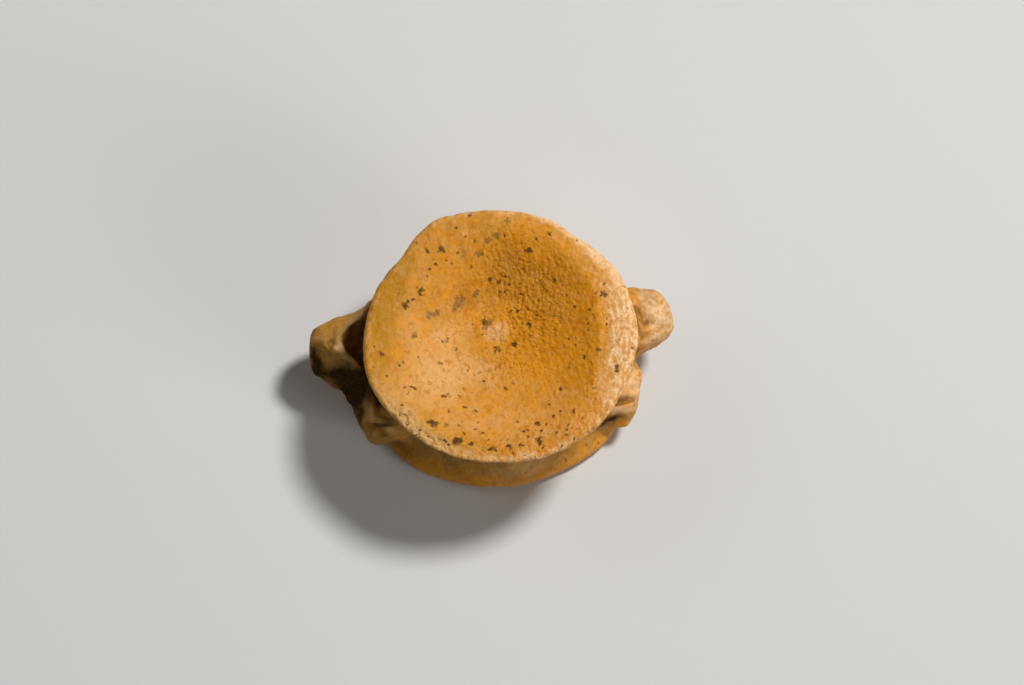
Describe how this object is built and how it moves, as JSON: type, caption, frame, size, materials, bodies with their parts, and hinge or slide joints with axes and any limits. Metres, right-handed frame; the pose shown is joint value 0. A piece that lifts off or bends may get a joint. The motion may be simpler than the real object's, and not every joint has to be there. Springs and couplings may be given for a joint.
{
  "type": "fossil reptile vertebra",
  "caption": "Spool-shaped body of a reptile's backbone joint, its arch lost, with hollow dished ends and stubby rib processes, lying on one end.",
  "frame": {"origin": "middle of the bone's box, on the surface it lies on", "axes": "+Z along the bone's own axis, up out of the hollow end that is seen; +X from side to side through the rib processes; +Y towards the animal's back"},
  "size_m": [0.0298, 0.0208, 0.013],
  "materials": {
    "fossil_bone": "dry, finely pitted ochre bone with pale worn rims and dark mineral specks"
  },
  "bodies": {
    "root": {"vertebra": "fossil_bone"}
  },
  "joints": []
}
